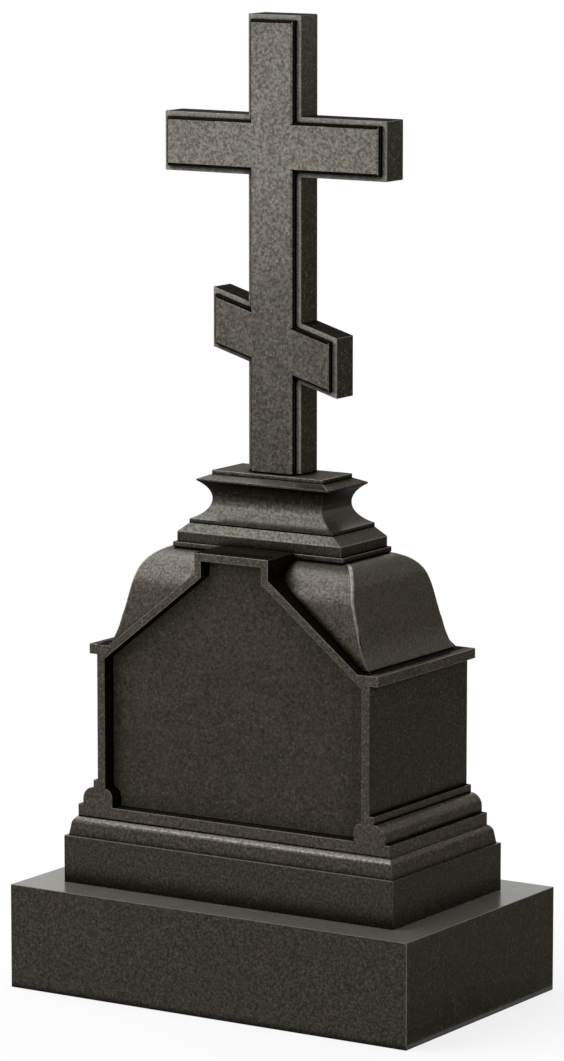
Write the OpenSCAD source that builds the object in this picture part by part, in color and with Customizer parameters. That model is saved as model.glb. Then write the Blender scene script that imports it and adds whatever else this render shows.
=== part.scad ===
// Granite grave monument: stepped base, gabled stele with recessed panels, bell roof, six-point cross.
// Millimetres, +Z up, front face towards -Y, origin at the middle of the plinth underside.

/* [Plinth] */
// plinth width, left to right
plinth_w = 900; // [760:5:1200]
// plinth depth, front to back
plinth_d = 550; // [410:5:800]
// plinth height
plinth_h = 205; // [80:1:320]

/* [Base] */
// width of the plain base block
base_w = 750; // [730:1:900]
// depth of the plain base block
base_d = 400; // [380:1:520]
// height of the plain base block
dado_h = 93; // [40:1:160]
// height of the rounded course above it
course_h = 37; // [20:1:60]
// small flat ledge at the foot of the rounded course
ledge_in = 6.5; // [2:0.5:12]
// total set-back at the top of the rounded course
course_in = 20; // [14:0.5:24]
// lean of the lower face of the rounded course in degrees
course_lean = 9; // [3:0.5:14]
// radius of the round on top of that face
course_r = 20; // [14:0.5:24]

/* [Stele] */
// width of the plain shaft of the stele
shaft_w = 618; // [560:1:625]
// height of the slab under the stele
foot_h = 24; // [12:1:40]
// height of the side ovolo, riser and round together
ovolo_h = 36; // [28:1:50]
// radius of the side ovolo
ovolo_r = 24.5; // [16:0.5:27]
// height of the side fillet over the ovolo
fillet_h = 15; // [8:1:24]
// overhang of the side fillet
fillet_out = 10; // [4:0.5:11]
// height of the shaft between fillet and cornice
shaft_h = 248; // [180:1:400]
// height of the side cornice
cornice_h = 20; // [10:1:40]
// overhang of the side cornice
cornice_out = 17.5; // [8:0.5:30]

/* [Frame] */
// width of the sloping and top bars of the frame round the panel
frame_w = 15.5; // [10:0.5:30]
// width of the upright stiles of the frame
stile_w = 18; // [10:0.5:30]
// depth of the panel below the frame
recess = 30; // [10:1:50]
// thickness of the panel slab
panel_t = 10; // [6:1:20]
// width of the small ears in the lower corners of the panel
ear_w = 16.5; // [10:0.5:30]
// set-back of the gable from the shaft side where it leaves the cornice
gable_in = 26.5; // [10:0.5:60]
// outer width of the square neck on top of the gable
neck_w = 167; // [120:1:220]
// height of the outer side of the neck
neck_side = 40; // [24:0.5:60]

/* [Bell roof] */
// height of the roof up to the pedestal
roof_h = 188.5; // [160:0.5:230]
// how far the rounded shoulder would rise above the flat top
crown = 2; // [1:0.5:8]
// radius of the shoulder, side faces
shoulder_x = 60; // [50:1:90]
// radius of the shoulder, front and back faces
shoulder_y = 84; // [50:1:90]
// set-back of the roof foot from the shaft side
bell_in_x = 14; // [6:0.5:30]
// set-back of the roof foot from the front face
bell_in_y = 23.5; // [12:0.5:40]
// lean of the side faces in degrees
lean_x = 15.5; // [8:0.5:20]
// lean of the front and back faces in degrees
lean_y = 5; // [3:0.5:9]
// height of the flared foot, side faces
flare_x = 56; // [20:1:60]
// height of the flared foot, front and back faces
flare_y = 9; // [5:1:40]
// radius of the flared foot
flare_r = 200; // [100:1:300]

/* [Pedestal] */
// width of the lowest step
step_w = 386; // [375:1:400]
// depth of the lowest step
step_d = 177; // [170:1:184]
// height of the lowest step
step_h = 10.5; // [6:0.5:16]
// set-back of the band from the step, side faces
band_in_x = 7; // [2:0.5:16]
// set-back of the band from the step, front and back faces
band_in_y = 4.5; // [2:0.5:12]
// height of the band
band_h = 20; // [10:1:30]
// height of the bevel over the band
bevel_h = 17; // [8:0.5:24]
// width of that bevel, side faces
bevel_x = 23; // [10:0.5:30]
// width of that bevel, front and back faces
bevel_y = 7.5; // [4:0.5:16]
// height of the fillet under the hollow
hollow_fillet = 8; // [4:0.5:12]
// height of the hollow
hollow_h = 75; // [60:0.5:90]
// depth of the hollow from its foot, side faces
hollow_x = 38.5; // [24:0.5:44]
// depth of the hollow from its foot, front and back faces
hollow_y = 22; // [14:0.5:26]
// overhang of the cap edge over the hollow, side faces
cap_x = 25; // [14:0.5:32]
// overhang of the cap edge over the hollow, front and back faces
cap_y = 18.5; // [12:0.5:24]
// height of the upright edge of the cap
cap_edge = 3; // [1:0.5:6]
// height of the sloping top of the cap
cap_slope = 9; // [4:0.5:16]
// width of that slope, side faces
slope_x = 24; // [10:0.5:30]
// width of that slope, front and back faces
slope_y = 19; // [8:0.5:24]
// height of the seat under the cross
seat_h = 8; // [4:0.5:16]

/* [Cross] */
// height of the cross above its seat
cross_h = 874; // [700:1:1000]
// width of the upright post
post_w = 118; // [90:1:140]
// width of the level arm
arm_w = 498; // [400:1:560]
// height of the level arm
arm_h = 114; // [80:1:130]
// underside of the level arm above the seat
arm_z = 569; // [500:1:620]
// width of the slanted bar
slant_w = 279; // [220:1:340]
// upright thickness of the slanted bar
slant_h = 116; // [80:1:130]
// middle of the slanted bar above the seat
slant_z = 251.5; // [200:0.5:320]
// slope of the slanted bar in degrees
slant_a = 16.5; // [8:0.5:24]
// thickness of the cross slab
slab_t = 59; // [40:1:70]
// distance of the slab middle behind the pedestal middle
slab_back = 4; // [0:0.5:8]
// thickness of the raised front of the cross
face_t = 14; // [8:0.5:18]
// margin of the slab left round the raised front
face_in = 9.5; // [6:0.5:16]
// chamfer round the raised front
face_c = 6; // [2:0.5:7]
// chamfer along the slanted bar
bar_c = 5.5; // [2:0.5:7]
// chamfer at the ends of the slanted bar
end_c = 5; // [1:0.5:7]

/* [Hidden] */
$fn = 128;

lap = 0.02;
stone = [0.2, 0.19, 0.17];
stone_2 = [0.26, 0.24, 0.22];

z_base = plinth_h;
z_course = z_base + dado_h;
z_foot = z_course + course_h;
z_ovolo = z_foot + foot_h;
z_fillet = z_ovolo + ovolo_h;
z_shaft = z_fillet + fillet_h;
z_cornice = z_shaft + shaft_h;
z_roof = z_cornice + cornice_h;
z_step = z_roof + roof_h;
z_band = z_step + step_h;
z_bevel = z_band + band_h;
z_hollow = z_bevel + bevel_h;
z_slope = z_hollow + hollow_fillet + hollow_h + cap_edge;
z_seat = z_slope + cap_slope;
z_cross = z_seat + seat_h;

foot_w = base_w - 2 * course_in;
body_d = base_d - 2 * course_in;
front_y = body_d / 2;
core_y = front_y - recess - panel_t;
half = shaft_w / 2;
in_half = half - stile_w;
neck_half = neck_w / 2;
neck_in = neck_half - frame_w;
gable_half = half - gable_in;
z_neck = z_band;
z_neck_in = z_neck - frame_w;
rake_m = (z_neck - neck_side - z_roof) / (gable_half - neck_half);
rake_drop = frame_w * sqrt(1 + rake_m * rake_m);
band_w = step_w - 2 * band_in_x;
band_d = step_d - 2 * band_in_y;
hollow_w = band_w - 2 * bevel_x;
hollow_d = band_d - 2 * bevel_y;
cap_w = hollow_w - 2 * hollow_x + 2 * cap_x;
cap_d = hollow_d - 2 * hollow_y + 2 * cap_y;
seat_w = cap_w - 2 * slope_x;
seat_d = cap_d - 2 * slope_y;

// height of the outer and inner rake edge at a distance from the middle
function rake_z(x) = z_roof + (gable_half - x) * rake_m;
function rake_in_z(x) = rake_z(x) - rake_drop;
z_stile = rake_in_z(in_half);

// radius of an arc that starts upright and moves w sideways over h
function upright_r(w, h) = (w * w + h * h) / (2 * w);

// height of the waist of a round hollow that is a deep at its foot, b deep at its top and h high
function waist_drop(a, b, h) =
    let (c = h * h + b * b - a * b)
    c / (h + sqrt(h * h - (1 - b / a) * c));

// 2-D outline in x and z, pushed along y
module along_y(y0, y1) {
    translate([0, y1, 0])
        rotate([90, 0, 0])
            linear_extrude(height = y1 - y0)
                children();
}

// 2-D outline in y and z, pushed along x
module along_x(x0, x1) {
    translate([x0, 0, 0])
        rotate([90, 0, 90])
            linear_extrude(height = x1 - x0)
                children();
}

module both_sides() {
    children();
    mirror([1, 0])
        children();
}

// block with mitred corners: first child seen from the front, second from the side
module mitred(w, d) {
    intersection() {
        along_y(-d / 2, d / 2)
            children(0);
        along_x(-w / 2, w / 2)
            children(1);
    }
}

module block(w, d, z, h) {
    translate([-w / 2, -d / 2, z])
        cube([w, d, h]);
}

// rounded course, half outline: a leaning face that runs into a round
module course_half(w) {
    a = [w / 2 - ledge_in, z_course];
    b = [w / 2 - course_in, z_foot];
    up = [-sin(course_lean), cos(course_lean)];
    inward = [-cos(course_lean), -sin(course_lean)];
    q = a + course_r * inward - b;
    rise = -q * up - sqrt(pow(q * up, 2) - q * q + course_r * course_r);
    t = a + rise * up;
    polygon([[0, z_course], a, t, [0, t[1]]]);
    translate([0, t[1]])
        square([b[0], z_foot - t[1]]);
    intersection() {
        translate(t + course_r * inward)
            circle(r = course_r);
        translate([b[0], t[1]])
            square([course_in, z_foot - t[1]]);
    }
}

// ovolo on an upright riser, foot at the left
module ovolo_2d(w, h) {
    square([w, h - w]);
    translate([0, h - w])
        intersection() {
            circle(r = w);
            square([w, w]);
        }
}

// roof half outline from its foot: flared foot, leaning face, round shoulder; the arcs lap over the straight
// face by a hair, so that they meet it in a clean line
module bell_half(foot, r, lean, flare) {
    z0 = z_roof + flare;
    z1 = z_step + crown - r + r * sin(lean);
    c0 = [foot + sqrt(flare_r * flare_r - pow(flare + flare_r * sin(lean), 2)), z0 + flare_r * sin(lean)];
    t0 = [c0[0] - flare_r * cos(lean), z0];
    t1 = [t0[0] - (z1 - z0) * tan(lean), z1];
    cx = t1[0] - r * cos(lean);
    difference() {
        polygon([[0, z_roof], [foot, z_roof], t0, t1, [0, z1]]);
        translate(c0 + [lap, 0])
            circle(r = flare_r);
    }
    translate([0, z1])
        square([cx, z_step - z1]);
    intersection() {
        translate([cx + lap, z_step + crown - r])
            circle(r = r);
        translate([cx, z1 - r / 8])
            square([2 * r, z_step - z1 + r / 8]);
    }
}

// band with a bevel on top
module band_2d(w, w_top) {
    polygon([[-w / 2, z_band], [w / 2, z_band], [w / 2, z_bevel], [w_top / 2, z_hollow],
        [-w_top / 2, z_hollow], [-w / 2, z_bevel]]);
}

// fillet, hollow and upright edge, half outline; one circle cuts the hollow, stretched sideways
module hollow_half(w, a, b, stretch) {
    low = waist_drop(a / stretch, b / stretch, hollow_h);
    r = upright_r(a / stretch, low);
    z_mid = z_hollow + hollow_fillet + low;
    difference() {
        union() {
            translate([0, z_hollow])
                square([w / 2, z_mid - z_hollow]);
            translate([0, z_hollow])
                square([w / 2 - a + b, z_slope - z_hollow]);
        }
        translate([w / 2 - a + r * stretch, z_mid])
            scale([stretch, 1])
                circle(r = r);
    }
}

// cap with a sloping top
module cap_2d(w, w_top) {
    polygon([[-w / 2, z_slope], [w / 2, z_slope], [w_top / 2, z_seat], [-w_top / 2, z_seat]]);
}

// outline of the whole gable above the cornice
module gable_2d() {
    polygon([[-gable_half, z_roof], [gable_half, z_roof], [neck_half, rake_z(neck_half)],
        [neck_half, z_neck], [-neck_half, z_neck], [-neck_half, rake_z(neck_half)]]);
}

module stile_2d() {
    translate([in_half, z_ovolo])
        square([stile_w, z_stile - z_ovolo]);
    translate([in_half, z_ovolo])
        mirror([1, 0])
            ovolo_2d(ear_w, ovolo_h);
}

module rake_2d() {
    polygon([[in_half, z_stile], [half, z_stile], [half, z_roof], [gable_half, z_roof],
        [neck_half, rake_z(neck_half)], [neck_in, rake_in_z(neck_in)]]);
}

module neck_2d() {
    polygon([[-neck_half, z_neck], [-neck_half, rake_z(neck_half)], [-neck_in, rake_in_z(neck_in)],
        [-neck_in, z_neck_in], [neck_in, z_neck_in], [neck_in, rake_in_z(neck_in)],
        [neck_half, rake_z(neck_half)], [neck_half, z_neck]]);
}

module panel_2d() {
    difference() {
        polygon([[-in_half, z_ovolo], [in_half, z_ovolo], [in_half, z_stile],
            [neck_in, rake_in_z(neck_in)], [neck_in, z_neck_in], [-neck_in, z_neck_in],
            [-neck_in, rake_in_z(neck_in)], [-in_half, z_stile]]);
        both_sides()
            stile_2d();
    }
}

// pieces of the front frame, right-hand side
module frame_stile() {
    color(stone)
        along_y(-front_y, -core_y)
            stile_2d();
}

module frame_rake() {
    color(stone)
        along_y(-front_y, -core_y)
            rake_2d();
}

module frame_neck() {
    color(stone)
        along_y(-front_y, -core_y)
            neck_2d();
}

module frame_panel() {
    color(stone_2)
        along_y(-core_y - panel_t, -core_y)
            panel_2d();
}

module flip_x() {
    mirror([1, 0, 0])
        children();
}

module flip_y() {
    mirror([0, 1, 0])
        children();
}

module plinth() {
    color(stone_2)
        block(plinth_w, plinth_d, 0, plinth_h);
}

module base_dado() {
    color(stone)
        block(base_w, base_d, z_base, dado_h);
}

module base_course() {
    color(stone_2)
        mitred(base_w, base_d) {
            both_sides()
                course_half(base_w);
            both_sides()
                course_half(base_d);
        }
}

module body_foot() {
    color(stone)
        block(foot_w, body_d, z_foot, foot_h);
}

module body_core() {
    color(stone)
        block(shaft_w, 2 * core_y, z_ovolo, z_roof - z_ovolo);
}

module ovolo_right() {
    color(stone_2)
        along_y(-front_y, front_y)
            translate([half, z_ovolo]) {
                square([fillet_out, ovolo_h]);
                translate([fillet_out, 0])
                    ovolo_2d(ovolo_r, ovolo_h);
            }
}

module ovolo_left() {
    flip_x()
        ovolo_right();
}

module fillet_right() {
    color(stone)
        translate([half, -front_y, z_fillet])
            cube([fillet_out, body_d, fillet_h]);
}

module fillet_left() {
    flip_x()
        fillet_right();
}

module cornice_right() {
    color(stone_2)
        translate([half, -front_y, z_cornice])
            cube([cornice_out, body_d, cornice_h]);
}

module cornice_left() {
    flip_x()
        cornice_right();
}

module front_stile_right() {
    frame_stile();
}

module front_stile_left() {
    flip_x()
        frame_stile();
}

module front_rake_right() {
    frame_rake();
}

module front_rake_left() {
    flip_x()
        frame_rake();
}

module front_neck() {
    frame_neck();
}

module front_panel() {
    frame_panel();
}

module back_stile_right() {
    flip_y()
        frame_stile();
}

module back_stile_left() {
    flip_y()
        flip_x()
            frame_stile();
}

module back_rake_right() {
    flip_y()
        frame_rake();
}

module back_rake_left() {
    flip_y()
        flip_x()
            frame_rake();
}

module back_neck() {
    flip_y()
        frame_neck();
}

module back_panel() {
    flip_y()
        frame_panel();
}

module bell_roof() {
    color(stone)
        difference() {
            union() {
                mitred(base_w, base_d) {
                    both_sides()
                        bell_half(half - bell_in_x, shoulder_x, lean_x, flare_x);
                    both_sides()
                        bell_half(front_y - bell_in_y, shoulder_y, lean_y, flare_y);
                }
                along_y(-core_y, core_y)
                    gable_2d();
            }
            along_y(-front_y, -core_y)
                gable_2d();
            along_y(core_y, front_y)
                gable_2d();
            block(step_w, step_d, z_step, 2 * step_h);
        }
}

module pedestal_step() {
    color(stone_2)
        block(step_w, step_d, z_step, step_h);
}

module pedestal_base() {
    color(stone)
        mitred(band_w, band_d) {
            band_2d(band_w, hollow_w);
            band_2d(band_d, hollow_d);
        }
}

module pedestal_hollow() {
    color(stone_2)
        mitred(band_w, band_d) {
            both_sides()
                hollow_half(hollow_w, hollow_x, cap_x, hollow_x / hollow_y);
            both_sides()
                hollow_half(hollow_d, hollow_y, cap_y, 1);
        }
}

module pedestal_cap() {
    color(stone)
        mitred(band_w, band_d) {
            cap_2d(cap_w, seat_w);
            cap_2d(cap_d, seat_d);
        }
}

module cross_seat() {
    color(stone_2)
        block(seat_w, seat_d, z_seat, seat_h);
}

// sheared bar of the cross, m is taken off all round
module slant_2d(m) {
    x = slant_w / 2 - m;
    z = z_cross + slant_z;
    h = slant_h / 2 - m / cos(slant_a);
    polygon([[-x, z - h + x * tan(slant_a)], [x, z - h - x * tan(slant_a)],
        [x, z + h - x * tan(slant_a)], [-x, z + h + x * tan(slant_a)]]);
}

module cross_slab() {
    y0 = slab_back - slab_t / 2;
    color(stone)
        along_y(y0, y0 + slab_t) {
            translate([-post_w / 2, z_cross])
                square([post_w, cross_h]);
            translate([-arm_w / 2, z_cross + arm_z])
                square([arm_w, arm_h]);
            slant_2d(0);
        }
}

// side view of a raised strip: square at the back, chamfered at the front
module strip_2d(a, b, y, c) {
    polygon([[a, y], [a, y - face_t + c], [a + c, y - face_t],
        [b - c, y - face_t], [b, y - face_t + c], [b, y]]);
}

// raised strip with four chamfered edges
module raised(x0, x1, z0, z1, y, c) {
    intersection() {
        translate([0, 0, z0])
            linear_extrude(height = z1 - z0)
                strip_2d(x0, x1, y, c);
        translate([x0, 0, 0])
            rotate([90, 0, 90])
                linear_extrude(height = x1 - x0)
                    mirror([1, -1])
                        strip_2d(z0, z1, y, c);
    }
}

module cross_face() {
    y0 = slab_back - slab_t / 2;
    post = post_w / 2 - face_in;
    arm = arm_w / 2 - face_in;
    bar = slant_w / 2 - face_in;
    rise = slant_h / 2 * cos(slant_a) - face_in;
    z_bar = z_cross + slant_z;
    color(stone_2) {
        intersection() {
            raised(-post, post, z_cross - 2 * face_c, z_cross + cross_h - face_in, y0, face_c);
            block(arm_w, base_d, z_cross, cross_h);
        }
        raised(-arm, arm, z_cross + arm_z + face_in, z_cross + arm_z + arm_h - face_in, y0, face_c);
        intersection() {
            translate([0, 0, z_bar])
                rotate([0, slant_a, 0])
                    raised(-slant_w, slant_w, -rise, rise, y0, bar_c);
            translate([0, 0, z_bar - slant_w])
                linear_extrude(height = 2 * slant_w)
                    strip_2d(-bar, bar, y0, end_c);
        }
    }
}

plinth();
base_dado();
base_course();
body_foot();
body_core();
ovolo_left();
ovolo_right();
fillet_left();
fillet_right();
cornice_left();
cornice_right();
front_stile_left();
front_stile_right();
front_rake_left();
front_rake_right();
front_neck();
front_panel();
back_stile_left();
back_stile_right();
back_rake_left();
back_rake_right();
back_neck();
back_panel();
bell_roof();
pedestal_step();
pedestal_base();
pedestal_hollow();
pedestal_cap();
cross_seat();
cross_slab();
cross_face();
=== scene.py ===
import math

import bmesh
import bpy
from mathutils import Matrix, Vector
from mathutils.bvhtree import BVHTree


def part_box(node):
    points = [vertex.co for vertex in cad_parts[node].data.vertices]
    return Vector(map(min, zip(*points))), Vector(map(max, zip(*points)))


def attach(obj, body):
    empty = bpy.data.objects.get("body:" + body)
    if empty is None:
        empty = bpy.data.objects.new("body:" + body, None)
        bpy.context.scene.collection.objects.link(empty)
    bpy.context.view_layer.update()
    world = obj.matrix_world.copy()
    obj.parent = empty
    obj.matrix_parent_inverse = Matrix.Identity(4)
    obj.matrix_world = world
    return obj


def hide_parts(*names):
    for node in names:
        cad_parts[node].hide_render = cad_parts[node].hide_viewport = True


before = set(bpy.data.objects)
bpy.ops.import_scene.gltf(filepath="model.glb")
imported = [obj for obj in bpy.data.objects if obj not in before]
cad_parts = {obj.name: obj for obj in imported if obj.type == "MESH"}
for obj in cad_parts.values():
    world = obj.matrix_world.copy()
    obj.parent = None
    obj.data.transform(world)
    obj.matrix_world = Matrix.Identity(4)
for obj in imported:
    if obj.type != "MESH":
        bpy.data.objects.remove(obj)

scene = bpy.context.scene
scene.view_settings.view_transform = "Standard"
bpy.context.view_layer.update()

# Lengths are metres. The front faces -Y, the right side +X.
EDGE = 0.0014                  # rounding of the free edges
NEAR = 0.0006                  # how far beside an edge its neighbours are felt
WELD = 1e-6                    # points closer than this are one
CUT = 1e-7                     # points closer than this to a cut lie on it
SLIVER = 2e-6                  # edges shorter than this are dissolved
TOUCH = 1e-4                   # boxes closer than this touch
FLAT = math.radians(0.3)       # faces that turn less than this are one
SHARP = math.radians(22)       # edges that turn less than this are not rounded
CREASE = 0.6                   # edges that turn more than this, in radians, are shaded sharp
HIP_TURN = 0.05                # a hip turns from side to front by more than this
PROBED = (0.12, 0.5, 0.88)     # places along an edge where its neighbours are felt
MOST_PROBED = 2                # so many of them have to be free
RAY = Vector((0.3217, 0.2713, 0.9071)).normalized()    # lies in no face of the stones
RAY_STEP = 1e-6                # from one hit to the start of the next ray
MOST_HITS = 60


# Solids of the frame

def welded(node):
    """The mesh of a CAD node with whole faces instead of triangles."""
    bm = bmesh.new()
    bm.from_mesh(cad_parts[node].data)
    bmesh.ops.remove_doubles(bm, verts=bm.verts, dist=WELD)
    bmesh.ops.dissolve_limit(bm, angle_limit=FLAT, verts=bm.verts, edges=bm.edges)
    bm.normal_update()
    return bm


class Solid:
    """One CAD node as something that a point can lie in."""

    def __init__(self, node):
        bm = welded(node)
        self.tree = BVHTree.FromBMesh(bm)
        bm.free()
        low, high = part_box(node)
        self.low, self.high = Vector(low), Vector(high)

    def holds(self, p):
        if any(p[i] < self.low[i] or p[i] > self.high[i] for i in range(3)):
            return False
        at, hits = p.copy(), 0
        while hits < MOST_HITS:
            hit = self.tree.ray_cast(at, RAY)[0]
            if hit is None:
                break
            hits += 1
            at = hit + RAY * RAY_STEP
        return hits % 2 == 1

    def touches(self, other):
        return all(self.low[i] < other.high[i] + TOUCH and other.low[i] < self.high[i] + TOUCH
                   for i in range(3))


NODES = sorted(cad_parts)
SOLIDS = {n: Solid(n) for n in NODES}


def touching(node):
    return [SOLIDS[n] for n in NODES if n != node and SOLIDS[node].touches(SOLIDS[n])]


def split(bm, cuts):
    """Splits the faces at planes; a cut is an axis, 0 to 2 for X to Z, and a place on it."""
    for axis, at in cuts:
        normal, point = Vector((0, 0, 0)), Vector((0, 0, 0))
        normal[axis], point[axis] = 1.0, at
        bmesh.ops.bisect_plane(bm, geom=bm.verts[:] + bm.edges[:] + bm.faces[:], dist=CUT,
                               plane_co=point, plane_no=normal)
    bm.normal_update()


def neighbour_cuts(node, others):
    """Cuts at the ends of the neighbours, after which an edge is either free or covered."""
    solid = SOLIDS[node]
    cuts = {}
    for other in others:
        for axis in range(3):
            for at in (other.low[axis], other.high[axis]):
                if solid.low[axis] + TOUCH < at < solid.high[axis] - TOUCH:
                    cuts.setdefault((axis, round(at, 5)), (axis, at))
    return list(cuts.values())


def free_edge(e, others):
    """True where both faces beside a sharp outer edge are open to the air."""
    if len(e.link_faces) != 2 or not e.is_convex:
        return False
    fa, fb = e.link_faces
    if fa.normal.angle(fb.normal, 0.0) < SHARP:
        return False
    along = (e.verts[1].co - e.verts[0].co).normalized()
    free = 0
    for t in PROBED:
        p = e.verts[0].co.lerp(e.verts[1].co, t)
        probes = [p + (fa.normal + fb.normal).normalized() * NEAR]
        for f in (fa, fb):
            side = along.cross(f.normal)
            if (f.calc_center_median() - p).dot(side) > 0:
                side = -side
            probes.append(p + side * NEAR - f.normal * NEAR * 0.5)
        if not any(s.holds(q) for s in others for q in probes):
            free += 1
    return free >= MOST_PROBED


def hip_edge(e):
    """True between a side face and a front or back face."""
    a, b = (f.normal for f in e.link_faces)
    return max(abs(a.x * b.y), abs(a.y * b.x)) > HIP_TURN


# Granite

def grey(v):
    return (v, v, v)


BLACK, WHITE = grey(0.0), grey(1.0)

# scales of the patterns in the stone, from fine to slow
FLECK_SCALE, GRAIN_SCALE, MOTTLE_SCALE, NICK_SCALE = 360.0, 300.0, 190.0, 140.0
HUE_SCALE, CLOUD_SCALE, SMEAR_SCALE = 24.0, 16.0, 7.0
# ramps: place in the pattern, and colour
FLECKS = [(0.94, BLACK), (0.98, WHITE)]
CLOUDS = [(0.3, grey(0.8)), (0.7, (1.0, 0.98, 0.95))]
CHIPS = [(0.3, grey(0.35)), (0.7, grey(0.85))]
POLISH = [(0.37, (0.36, 0.343, 0.313)), (0.63, (1.0, 0.955, 0.885))]
HUES = [(0.38, (0.91, 0.94, 0.89)), (0.62, (1.0, 0.93, 0.89))]
# greys of the painted shade on what faces down
UNDERSIDE_SHADE_GREYS = [(0.12, grey(0.06)), (0.4, grey(0.5)), (0.62, WHITE)]
LEVEL_TOP = [(0.9, BLACK), (0.98, WHITE)]
# the same in two halves, where the other half is a granite's own
GROUND_AT, GRAINS_AT, FILM_AT = (0.36, 0.52, 0.66), (0.0, 0.35, 0.6, 0.85), (0.3, 0.7)
# greys of the painted corner shade
CORNER_SHADE_GREYS = (grey(0.04), grey(0.3), WHITE)                  # from the corner to the open air
OLIVE, ARRIS_HUE = (0.85, 1.05, 0.9), (1.0, 0.95, 0.86)
DUST_COLOUR, FILM_LEAST = (0.100, 0.097, 0.084), 0.8
# rays that find the painted corner shade
CORNER_SHADE_SAMPLES = 6
SMEAR_LESS, SMEAR_MORE, GRAIN_ROUGH = 0.04, 0.05, 0.05    # how far the roughness wanders
BUMP_STRENGTH, BUMP_HEIGHT = 0.05, 0.0002
STONE_IOR = 1.5


def node_of(tree, kind, **values):
    n = tree.nodes.new(kind)
    for key, v in values.items():
        if key in n.inputs:
            n.inputs[key].default_value = v
        else:
            setattr(n, key, v)
    return n


class Shader:
    """The node tree of a granite: short ways to add to it, and the patterns that several steps share."""

    def __init__(self, material):
        material.use_nodes = True
        self.tree = material.node_tree
        self.tree.nodes.clear()
        self.link = self.tree.links.new
        self.place = self.add("ShaderNodeTexCoord").outputs["Object"]
        self.grain = self.cells(GRAIN_SCALE)
        self.mottle = self.noise(Scale=MOTTLE_SCALE, Detail=2.5, Roughness=0.6)
        self.hue = self.noise(Scale=HUE_SCALE, Detail=3.0, Roughness=0.5)

    def add(self, kind, **values):
        return node_of(self.tree, kind, **values)

    def pattern(self, kind, **values):
        n = self.add(kind, **values)
        self.link(self.place, n.inputs["Vector"])
        return n.outputs

    def noise(self, **values):
        return self.pattern("ShaderNodeTexNoise", **values)["Fac"]

    def cells(self, scale):
        """Cells with three random numbers each: Red, Green and Blue."""
        n = self.add("ShaderNodeSeparateColor")
        colour = self.pattern("ShaderNodeTexVoronoi", Scale=scale, Randomness=1.0)["Color"]
        self.link(colour, n.inputs["Color"])
        return n.outputs

    def mixed(self, factor, a, b, blend="MIX"):
        n = self.add("ShaderNodeMix", data_type="RGBA", blend_type=blend)
        for socket, v in ((n.inputs[0], factor), (n.inputs[6], a), (n.inputs[7], b)):
            if isinstance(v, bpy.types.NodeSocket):
                self.link(v, socket)
            else:
                socket.default_value = v if isinstance(v, float) else (*v, 1.0)
        return n.outputs[2]

    def multiplied(self, a, b):
        return self.mixed(1.0, a, b, "MULTIPLY")

    def times(self, a, b):
        n = self.add("ShaderNodeMath", operation="MULTIPLY")
        self.link(a, n.inputs[0])
        self.link(b, n.inputs[1])
        return n.outputs["Value"]

    def toned(self, source, stops):
        n = self.add("ShaderNodeValToRGB")
        el = n.color_ramp.elements
        while len(el) < len(stops):
            el.new(0.5)
        for e, (pos, col) in zip(el, stops):
            e.position = pos
            e.color = (*col, 1.0)
        self.link(source, n.inputs["Fac"])
        return n.outputs["Color"]

    def upward(self):
        """How far a face looks up, from -1 to 1."""
        n = self.add("ShaderNodeSeparateXYZ")
        self.link(self.add("ShaderNodeNewGeometry").outputs["Normal"], n.inputs["Vector"])
        return n.outputs["Z"]


def stone_colour(s, tones, arris):
    """Ground and grains, pale flecks, slow clouds, and pale edges: partly wear, partly painted highlight."""
    dark, mid, brown, light = tones
    olive = tuple(a * b for a, b in zip(mid, OLIVE))
    ground = s.toned(s.mottle, list(zip(GROUND_AT, (dark, mid, brown))))
    grains = s.toned(s.grain["Red"], list(zip(GRAINS_AT, (dark, mid, olive, brown))))
    stone = s.mixed(0.5, ground, grains)
    stone = s.mixed(s.toned(s.cells(FLECK_SCALE)["Green"], FLECKS), stone, light)
    cloud = s.noise(Scale=CLOUD_SCALE, Detail=5.0, Roughness=0.6)
    stone = s.multiplied(stone, s.toned(cloud, CLOUDS))
    edge = s.add("ShaderNodeAttribute", attribute_name="edge").outputs["Fac"]
    chip = s.toned(s.noise(Scale=NICK_SCALE, Detail=3.0), CHIPS)
    return s.mixed(s.times(edge, chip), stone, tuple(arris * c for c in ARRIS_HUE))


def polish_tint(s, cast):
    """Mottled reflections with olive and red patches."""
    tint = s.multiplied(s.toned(s.mottle, POLISH), s.toned(s.hue, HUES))
    return s.multiplied(tint, cast) if cast else tint


def painted_underside_shade(s):
    """Painted shade: darker on what faces down."""
    half = s.add("ShaderNodeMath", operation="MULTIPLY_ADD")    # 0 faces down, 1 up
    s.link(s.upward(), half.inputs[0])
    half.inputs[1].default_value = half.inputs[2].default_value = 0.5
    return s.toned(half.outputs["Value"], UNDERSIDE_SHADE_GREYS)


def painted_corner_shade(s, corner_shade_reach, open_air, shadow_tilt):
    """Painted shade: darker in the corners."""
    near = s.add("ShaderNodeAmbientOcclusion", samples=CORNER_SHADE_SAMPLES, Distance=corner_shade_reach)
    # a tilt paints this shade as a shadow below raised parts
    if shadow_tilt:
        way = s.add("ShaderNodeCombineXYZ", X=shadow_tilt[0], Y=shadow_tilt[1], Z=shadow_tilt[2])
        s.link(way.outputs["Vector"], near.inputs["Normal"])
    return s.toned(near.outputs["AO"], list(zip(open_air, CORNER_SHADE_GREYS)))


def dusted(s, stone, dust):
    """A film of dust on a level top."""
    film = s.toned(s.hue, list(zip(FILM_AT, (grey(dust * FILM_LEAST), grey(dust)))))
    return s.mixed(s.times(s.toned(s.upward(), LEVEL_TOP), film), stone, DUST_COLOUR)


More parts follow.
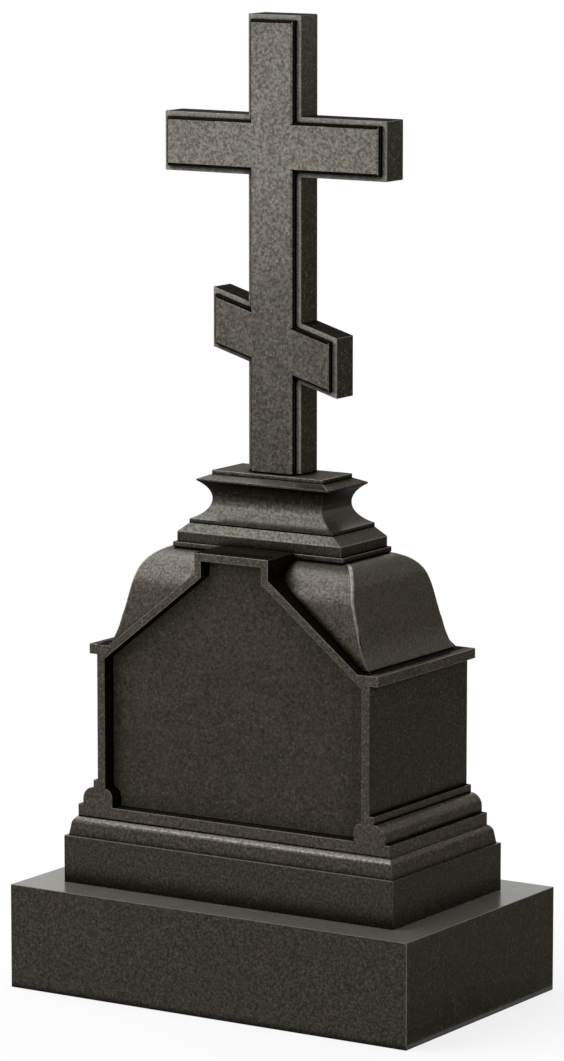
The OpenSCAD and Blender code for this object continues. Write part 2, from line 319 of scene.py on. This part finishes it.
def roughness(s, rough):
    """Smears and grains in the polish."""
    gloss = s.add("ShaderNodeMapRange")
    gloss.inputs["To Min"].default_value = rough - SMEAR_LESS
    gloss.inputs["To Max"].default_value = rough + SMEAR_MORE
    s.link(s.noise(Scale=SMEAR_SCALE, Detail=4.0, Roughness=0.55), gloss.inputs["Value"])
    grainy = s.add("ShaderNodeMath", operation="MULTIPLY_ADD")
    grainy.inputs[1].default_value = GRAIN_ROUGH
    s.link(s.grain["Blue"], grainy.inputs[0])
    s.link(gloss.outputs["Result"], grainy.inputs[2])
    return grainy.outputs["Value"]


def granite(name, tones, rough, level, corner_shade_reach=0.014, open_air=(0.5, 0.76, 0.95), shadow_tilt=None, dust=0.0,
            arris=0.13, shade_undersides=False, cast=None):
    """Dark granite with grains of 2 to 5 mm in four tones: dark, mid, brown and light. Pale edges have the
    grey of arris, partly wear and partly painted highlight. Painted shade darkens the corners out to a given
    reach and ends where open_air says; a tilt, if given, turns the way that this shade is found, to paint
    shadow below raised parts.
    Dust lies on a level top. Shaded undersides get painted shade where they face down, and cast tints the
    polish."""
    m = bpy.data.materials.new(name)
    s = Shader(m)
    stone, tint = stone_colour(s, tones, arris), polish_tint(s, cast)
    shades = [painted_underside_shade(s)] if shade_undersides else []
    if corner_shade_reach:
        shades.append(painted_corner_shade(s, corner_shade_reach, open_air, shadow_tilt))
    for shade in shades:
        stone, tint = s.multiplied(stone, shade), s.multiplied(tint, shade)
    if dust:
        stone = dusted(s, stone, dust)
    bump = s.add("ShaderNodeBump", Strength=BUMP_STRENGTH, Distance=BUMP_HEIGHT)
    s.link(s.mottle, bump.inputs["Height"])
    bsdf = s.add("ShaderNodeBsdfPrincipled", IOR=STONE_IOR)
    bsdf.inputs["Specular IOR Level"].default_value = level
    s.link(stone, bsdf.inputs["Base Color"])
    s.link(tint, bsdf.inputs["Specular Tint"])
    s.link(roughness(s, rough), bsdf.inputs["Roughness"])
    s.link(bump.outputs["Normal"], bsdf.inputs["Normal"])
    s.link(bsdf.outputs["BSDF"], s.add("ShaderNodeOutputMaterial").inputs["Surface"])
    return m


TONES = ((0.005, 0.0042, 0.0025), (0.012, 0.0098, 0.006), (0.026, 0.019, 0.012), (0.042, 0.037, 0.029))
CROSS_TONES = (*TONES[:3], (0.075, 0.068, 0.058))
BELL_TONES = ((0.008, 0.0066, 0.0042), (0.019, 0.0156, 0.0102), (0.038, 0.029, 0.019),
              (0.055, 0.048, 0.038))
TRIM_TONES = ((0.012, 0.0100, 0.0072), (0.026, 0.0210, 0.0160), (0.048, 0.036, 0.0275),
              (0.095, 0.079, 0.062))
# near-black tones: dark joints, and painted shade on reveals, gable slopes, the cornice beside the roof and
# the raised cross's walls
JOINT_AND_SHADE_TONES = ((0.001, 0.0008, 0.0005), (0.002, 0.0017, 0.0012), (0.004, 0.0031, 0.002),
              (0.010, 0.0085, 0.006))
# near-black tones of painted shade on level ledges
SHADED_LEDGE_TONES = ((0.003, 0.0025, 0.0016), (0.006, 0.005, 0.0034), (0.013, 0.010, 0.0066),
               (0.028, 0.024, 0.018))
# pale tones that paint light on the cross's rims
PAINTED_RIM_TONES = ((0.110, 0.103, 0.094), (0.160, 0.150, 0.138), (0.210, 0.192, 0.174),
               (0.280, 0.260, 0.236))
PANEL_TONES = ((0.017, 0.0148, 0.0108), (0.034, 0.0298, 0.0224), (0.0510, 0.0445, 0.0325),
               (0.062, 0.058, 0.043))

STONE = granite("granite_polished", TONES, rough=0.24, level=0.44)
COURSE = granite("granite_course_polished", TONES, rough=0.20, level=0.62)
# the dado's painted corner shade reaches far and darkens its foot
DADO = granite("granite_dado_polished", TONES, rough=0.24, level=0.44, corner_shade_reach=0.05, open_air=(0.52, 0.6, 0.88))
PLINTH = granite("granite_plinth_polished", TONES, rough=0.20, level=0.44, dust=0.8)
# the roof's pale hips are a painted highlight
BELL = granite("granite_roof_polished", BELL_TONES, rough=0.32, level=0.48, arris=0.3)
CAPS = granite("granite_caps_polished", TONES, rough=0.27, level=0.49, corner_shade_reach=0.02, open_air=(0.5, 0.7, 0.9),
               arris=0.1, shade_undersides=True, cast=(0.94, 1.0, 0.97))
DULL = granite("granite_dull", TRIM_TONES, rough=0.6, level=0.08, corner_shade_reach=0.02, open_air=(0.5, 0.7, 0.9),
               shade_undersides=True)
PANEL = granite("granite_panel_polished", PANEL_TONES, rough=0.30, level=0.06, corner_shade_reach=0.0)
CROSS = granite("granite_cross_polished", CROSS_TONES, rough=0.25, level=0.47, corner_shade_reach=0.0)
TRIM = granite("granite_trim_polished", TRIM_TONES, rough=0.26, level=0.45, corner_shade_reach=0.009)
# dark joints and painted black shade
JOINT_AND_SHADE_BLACK = granite("granite_joint_and_painted_shade", JOINT_AND_SHADE_TONES, rough=0.75, level=0.02, arris=0.03)
# painted shade on level ledges
SHADED_LEDGE = granite("granite_ledge_painted_shade", SHADED_LEDGE_TONES, rough=0.75, level=0.02, arris=0.06)
# the cross's rims: painted light, with painted shadow below and left of the raised face
PAINTED_RIM = granite("granite_rim_painted_light", PAINTED_RIM_TONES, rough=0.45, level=0.4, corner_shade_reach=0.02, open_air=(0.5, 0.64, 0.75),
                shadow_tilt=(0.45, -0.55, 0.7))


# Finish of each face

# words in the names of nodes
FRAME_NODES = ("stile", "rake", "neck")
TRIM_NODES = ("foot", "ovolo", "fillet", "cornice", "course")
QUIET_NODES = ("dado", "course", "foot", "ovolo", "fillet", "stile")    # their side edges get only a faint pale edge of wear and painted highlight
# level tops of these get painted shade
LEDGE_NODES = ("foot", "core", "fillet", "pedestal_base", "pedestal_step")
# height of the dark band at the foot of a stone: partly a joint, partly painted contact shadow
JOINT_AND_SHADE_BANDS = {"body_foot": 0.0022, "fillet_left": 0.0024, "fillet_right": 0.0024, "bell_roof": 0.0035,
          "pedestal_step": 0.002, "pedestal_hollow": 0.003, "cross_seat": 0.0015, "cross_slab": 0.003,
          "cross_face": 0.003}
# width of the rounded hips, and the height over the foot at which their painted highlight is full
HIPS = {"bell_roof": 0.004, "pedestal_hollow": 0.002}
HIP_RISE = 0.16
# strength of the pale edges, wear with painted highlight: least at a hip's foot, faint on quiet sides, full
# elsewhere
HIP_LEAST, QUIET_EDGE_LIGHT, FULL_EDGE_LIGHT = 0.15, 0.2, 1.0

# a frame's side that comes this close to the shaft's side keeps the stone's polish, a reveal gets painted
# black shade
SHAFT_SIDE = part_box("body_core")[1][0]
SHAFT_PLAY = 0.001
# the raised cross's right bevel keeps its polish from its front over a share of its depth; behind that, and
# on its other walls, black shade is painted
RAISED_FRONT, RAISED_FOOT = (corner[1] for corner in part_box("cross_face"))
UNSHADED_SHARE = 0.22
RAISED_SHADE_FROM = RAISED_FRONT + UNSHADED_SHARE * (RAISED_FOOT - RAISED_FRONT)
# painted shadow: the dark strip of the cornice beside the bell's foot, its outer side and its ends
BELL_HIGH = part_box("bell_roof")[1]
SHADE_WIDTH, SHADE_SHORT = 0.019, 0.045
SHADE_SIDE = BELL_HIGH[0] + SHADE_WIDTH
SHADE_FRONT, SHADE_BACK = -BELL_HIGH[1], BELL_HIGH[1] - SHADE_SHORT
# the gables' slopes in the bell lie within this and hardly face the front; black shade is painted on them
GABLE_SIDE, GABLE_TURN = 0.18, 0.05

# limits of a face's normal
LEVEL, ROOF_LEVEL, JOINT_LEVEL = 0.95, 0.985, 0.9
UNDERSIDE, SLOPE, SIDEWARD = -0.15, 0.2, 0.3
MAINLY = 0.5
RIM_FRONT, RAISED_FACE = -0.9, -0.85


def named(node, words):
    return any(w in node for w in words)


def foot_band_finish(node, normal):
    """The dark foot band, a joint and painted contact shadow, is painted only at the foot slab's front and
    back, and only at the fillets' sides.
    """
    to_front = abs(normal.y)
    if node.startswith("fillet"):
        plain = to_front > MAINLY
    else:
        plain = node == "body_foot" and to_front < MAINLY
    return TRIM if plain else JOINT_AND_SHADE_BLACK


def pedestal_finish(node, normal):
    """The finish of the pedestal's mouldings, or None."""
    moulded = node in ("pedestal_hollow", "pedestal_cap")
    if (moulded or node == "cross_seat") and (normal.z > LEVEL or normal.z < UNDERSIDE):
        return DULL
    if node == "pedestal_cap" and abs(normal.x) > SIDEWARD and normal.z > SLOPE:
        return DULL
    return CAPS if moulded or (node == "pedestal_base" and normal.z < LEVEL) else None


def finish_of(node, normal, centre):
    """The finish of one face of a stone."""
    # a dark band at the foot: joint and painted contact shadow
    if centre.z < SOLIDS[node].low.z + JOINT_AND_SHADE_BANDS.get(node, 0.0) and normal.z < JOINT_LEVEL:
        return foot_band_finish(node, normal)
    if node.endswith("panel"):
        return PANEL
    if node == "plinth":
        return PLINTH
    if node == "base_dado":
        return DADO
    if node == "bell_roof":
        # painted shade on the roof's flat top and black painted shade on its gable slopes
        gable = abs(normal.y) < GABLE_TURN and abs(centre.x) < GABLE_SIDE
        return SHADED_LEDGE if normal.z > ROOF_LEVEL else JOINT_AND_SHADE_BLACK if gable else BELL
    # painted light on the slab's rims, painted shade on its tops
    if node == "cross_slab":
        return PAINTED_RIM if normal.y < RIM_FRONT else SHADED_LEDGE if normal.z > MAINLY else CROSS
    # painted black shade on the raised cross's walls, past the polished front of its right bevel
    if node == "cross_face":
        right_bevel = normal.x > MAINLY and centre.y < RAISED_SHADE_FROM
        return CROSS if normal.y < RAISED_FACE or right_bevel else JOINT_AND_SHADE_BLACK
    # painted light by side: the course's sides take the paler trim tones, its front and back the darker,
    # glossier course polish
    if node == "base_course" and abs(normal.y) > abs(normal.x):
        return COURSE
    if named(node, FRAME_NODES):
        if abs(normal.y) > MAINLY:
            return TRIM
        # a reveal gets painted black shade
        return STONE if abs(centre.x) > SHAFT_SIDE - SHAFT_PLAY else JOINT_AND_SHADE_BLACK
    # painted shadow on the cornice top beside the roof's foot
    if node.startswith("cornice") and normal.z > LEVEL:
        shaded = abs(centre.x) < SHADE_SIDE and SHADE_FRONT < centre.y < SHADE_BACK
        return JOINT_AND_SHADE_BLACK if shaded else DULL
    moulding = pedestal_finish(node, normal)
    if moulding:
        return moulding
    # painted shade on level ledges
    if normal.z > LEVEL and named(node, LEDGE_NODES):
        return SHADED_LEDGE
    return TRIM if named(node, TRIM_NODES) else STONE


# Dressed stones

def finish_mesh(bm, name, node):
    """Turns a dressed mesh into the piece that replaces its node."""
    me = bpy.data.meshes.new(name)
    used = []
    for f in bm.faces:
        f.smooth = True
        material = finish_of(node, f.normal, f.calc_center_median())
        if material not in used:
            used.append(material)
        f.material_index = used.index(material)
    for e in bm.edges:
        fs = e.link_faces
        e.smooth = len(fs) == 2 and fs[0].normal.angle(fs[1].normal, 0.0) < CREASE
    bm.to_mesh(me)
    bm.free()
    for material in used:
        me.materials.append(material)
    piece = bpy.data.objects.new(name, me)
    scene.collection.objects.link(piece)
    weighted = piece.modifiers.new("even_normals", "WEIGHTED_NORMAL")
    weighted.keep_sharp = True
    weighted.weight = 100
    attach(piece, "root")
    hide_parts(node)


def dress(node):
    """Copies a CAD node, rounds its free edges and gives each face its finish."""
    bm = welded(node)
    edge_wear_and_highlight = bm.faces.layers.float.new("edge")
    others = touching(node)
    foot = SOLIDS[node].low.z
    split(bm, neighbour_cuts(node, others))
    if node in JOINT_AND_SHADE_BANDS:
        split(bm, [(2, foot + JOINT_AND_SHADE_BANDS[node])])
    if node == "cross_face":
        split(bm, [(1, RAISED_SHADE_FROM)])
    if node.startswith("cornice"):
        split(bm, [(0, SHADE_SIDE), (0, -SHADE_SIDE), (1, SHADE_FRONT), (1, SHADE_BACK)])
    hips = node in HIPS
    edges = [e for e in bm.edges if free_edge(e, others) and (hip_edge(e) or not hips)]
    made = bmesh.ops.bevel(bm, geom=edges, offset=HIPS.get(node, EDGE), offset_type="OFFSET",
                           segments=2, profile=0.5, affect="EDGES", clamp_overlap=not hips,
                           miter_outer="SHARP")
    for f in made["faces"]:
        # pale edges: on hips a painted highlight that grows with height, elsewhere wear and painted
        # highlight
        if hips:
            rise = (f.calc_center_median().z - foot) / HIP_RISE
            f[edge_wear_and_highlight] = min(FULL_EDGE_LIGHT, max(HIP_LEAST, rise))
        else:
            quiet = abs(f.normal.x) > SIDEWARD and named(node, QUIET_NODES)
            f[edge_wear_and_highlight] = QUIET_EDGE_LIGHT if quiet else FULL_EDGE_LIGHT
    bmesh.ops.dissolve_degenerate(bm, dist=SLIVER, edges=bm.edges)
    bm.normal_update()
    finish_mesh(bm, node + "_stone", node)


for n in NODES:
    dress(n)


# Floor, light, camera

PURE_WHITE = (1.0, 1.0, 1.0, 1.0)
FLOOR_HALF, FLOOR_LIT = 30.0, (0.62, 0.62, 0.62, 1.0)
FADE_FROM, FADE_TO = 0.45, 1.5         # distances from the middle between which the lit floor fades out
FADE_LEAST, FADE_FULL = 0.78, 1.0      # share of plain white there
WORLD_SOFT, WORLD_LEVEL = (1.0, 0.99, 0.97, 1.0), 0.45

# three cards stand behind the object, and the lowest also lies on the floor at its right
CARD_Y, CARD_LEFT, CARD_RIGHT = 4.0, -1.0, 7.0
CARD_FLOOR, CARD_LOW, CARD_MID, CARD_HIGH = 0.004, 1.5, 2.7, 5.0
CARD_NEAR, CARD_REACH = 0.46, 0.6      # where it lies beside the plinth
CARD_FRONT, CARD_BEND = 2.2, 0.7       # its front at the far right, and its left end at the back
LOW_GREY, HIGH_PALE, TOP_GREY = (0.17, 0.17, 0.135), (0.95, 0.93, 0.85), (0.40, 0.39, 0.36)

# lamps: name, place, aim, width and height, watts, and whether the polish mirrors it
LAMPS = (
    ("softbox_front", (-0.85, -1.35, 1.6), (0.0, -0.04, 1.63), (1.0, 0.62), 12.7, True),
    ("softbox_low", (-0.85, -1.35, 1.06), (0.0, -0.04, 1.08), (1.0, 0.48), 2.8, True),
    ("softbox_top", (-1.75, -0.7, 3.3), (0.0, -0.1, 0.9), (3.4, 2.6), 130.0, True),
    ("strip_right", (2.3, -1.4, 1.9), (0.2, -0.1, 0.85), (0.7, 2.8), 36.0, True),
    ("softbox_back", (-0.2, 3.0, 3.2), (0.0, 0.1, 0.9), (2.4, 1.6), 70.0, False),
)

CAMERA_AT = (5.23496, -8.17687, 2.4524)
CAMERA_TURN, CAMERA_DOWN = math.radians(32.627), math.radians(9.070)
CAMERA_LENS, CAMERA_SENSOR, CAMERA_END = 173.82, 36.0, 200.0


def backdrop_factor(tree):
    """1 for the rays that show the background: camera, gloss and glass."""
    path = tree.nodes.new("ShaderNodeLightPath")
    a = node_of(tree, "ShaderNodeMath", operation="MAXIMUM")
    b = node_of(tree, "ShaderNodeMath", operation="MAXIMUM")
    tree.links.new(path.outputs["Is Camera Ray"], a.inputs[0])
    tree.links.new(path.outputs["Is Glossy Ray"], a.inputs[1])
    tree.links.new(a.outputs["Value"], b.inputs[0])
    tree.links.new(path.outputs["Is Transmission Ray"], b.inputs[1])
    return b.outputs["Value"]


def flat_object(name, corners, faces, material_name):
    """An object of flat faces, and the empty node tree of its material."""
    me = bpy.data.meshes.new(name)
    me.from_pydata(corners, [], faces)
    ob = bpy.data.objects.new(name, me)
    scene.collection.objects.link(ob)
    m = bpy.data.materials.new(material_name)
    m.use_nodes = True
    m.node_tree.nodes.clear()
    me.materials.append(m)
    return ob, m.node_tree


def make_floor():
    """Near the stone the lit floor shows, with its shadow; further off the white background."""
    s = FLOOR_HALF
    corners = [(-s, -s, 0), (s, -s, 0), (s, s, 0), (-s, s, 0)]
    floor, t = flat_object("floor", corners, [(0, 1, 2, 3)], "floor_white")
    link = t.links.new
    out = t.nodes.new("ShaderNodeOutputMaterial")
    lit = node_of(t, "ShaderNodeBsdfDiffuse", Color=FLOOR_LIT)
    glow = node_of(t, "ShaderNodeEmission", Color=PURE_WHITE, Strength=1.0)
    place = t.nodes.new("ShaderNodeTexCoord")
    far = node_of(t, "ShaderNodeVectorMath", operation="LENGTH")
    link(place.outputs["Object"], far.inputs[0])
    fade = node_of(t, "ShaderNodeMapRange", interpolation_type="SMOOTHSTEP")
    fade.inputs["From Min"].default_value = FADE_FROM
    fade.inputs["From Max"].default_value = FADE_TO
    fade.inputs["To Min"].default_value = FADE_LEAST
    fade.inputs["To Max"].default_value = FADE_FULL
    link(far.outputs["Value"], fade.inputs["Value"])
    share = node_of(t, "ShaderNodeMath", operation="MULTIPLY")
    mix = t.nodes.new("ShaderNodeMixShader")
    link(backdrop_factor(t), share.inputs[0])
    link(fade.outputs["Result"], share.inputs[1])
    link(share.outputs["Value"], mix.inputs["Fac"])
    link(lit.outputs["BSDF"], mix.inputs[1])
    link(glow.outputs["Emission"], mix.inputs[2])
    link(mix.outputs["Shader"], out.inputs["Surface"])


def make_world():
    w = bpy.data.worlds.new("studio")
    scene.world = w
    w.use_nodes = True
    t = w.node_tree
    t.nodes.clear()
    out = t.nodes.new("ShaderNodeOutputWorld")
    soft = node_of(t, "ShaderNodeBackground", Color=WORLD_SOFT, Strength=WORLD_LEVEL)
    white = node_of(t, "ShaderNodeBackground", Color=PURE_WHITE, Strength=1.0)
    mix = t.nodes.new("ShaderNodeMixShader")
    t.links.new(backdrop_factor(t), mix.inputs["Fac"])
    t.links.new(soft.outputs["Background"], mix.inputs[1])
    t.links.new(white.outputs["Background"], mix.inputs[2])
    t.links.new(mix.outputs["Shader"], out.inputs["Surface"])


def make_card(name, corners, faces, colour):
    """Flag off camera: only the polish of the stone shows it."""
    card, t = flat_object(name, corners, faces, name + "_grey")
    out = t.nodes.new("ShaderNodeOutputMaterial")
    matt = node_of(t, "ShaderNodeBsdfDiffuse", Color=(*colour, 1.0))
    t.links.new(matt.outputs["BSDF"], out.inputs["Surface"])
    card.visible_camera = False
    card.visible_diffuse = False
    card.visible_shadow = False


def make_upright_card(name, low, high, colour):
    corners = [(CARD_LEFT, CARD_Y, low), (CARD_RIGHT, CARD_Y, low), (CARD_RIGHT, CARD_Y, high),
               (CARD_LEFT, CARD_Y, high)]
    make_card(name, corners, [(0, 1, 2, 3)], colour)


def make_right_card(colour):
    corners = [(CARD_NEAR, -CARD_REACH, CARD_FLOOR), (CARD_RIGHT, CARD_FRONT, CARD_FLOOR),
               (CARD_RIGHT, CARD_Y, CARD_FLOOR), (CARD_BEND, CARD_Y, CARD_FLOOR),
               (CARD_NEAR, CARD_REACH, CARD_FLOOR),
               (CARD_RIGHT, CARD_Y, CARD_LOW), (CARD_BEND, CARD_Y, CARD_LOW)]
    make_card("card_right", corners, [(0, 1, 2, 3, 4), (3, 2, 5, 6)], colour)


def make_lamp(name, at, aim, size, watts, mirrored):
    """A soft box that shines from one place to another."""
    lamp = bpy.data.lights.new(name, "AREA")
    lamp.shape = "RECTANGLE"
    lamp.size, lamp.size_y = size
    lamp.energy = watts
    ob = bpy.data.objects.new(name, lamp)
    scene.collection.objects.link(ob)
    ob.location = at
    ob.rotation_euler = (Vector(aim) - Vector(at)).to_track_quat("-Z", "Y").to_euler()
    ob.visible_glossy = mirrored


def make_camera():
    """The photo's camera."""
    cam = bpy.data.cameras.new("photo_camera")
    ob = bpy.data.objects.new("photo_camera", cam)
    scene.collection.objects.link(ob)
    along = math.cos(CAMERA_DOWN)
    look = Vector((-math.sin(CAMERA_TURN) * along, math.cos(CAMERA_TURN) * along, -math.sin(CAMERA_DOWN)))
    ob.location = CAMERA_AT
    ob.rotation_euler = look.to_track_quat("-Z", "Y").to_euler()
    cam.lens = CAMERA_LENS
    cam.sensor_width = CAMERA_SENSOR
    cam.clip_end = CAMERA_END
    scene.camera = ob


make_floor()
make_world()
make_right_card(LOW_GREY)
make_upright_card("card_high", CARD_LOW, CARD_MID, HIGH_PALE)
make_upright_card("card_top", CARD_MID, CARD_HIGH, TOP_GREY)
for lamp_row in LAMPS:
    make_lamp(*lamp_row)
make_camera()
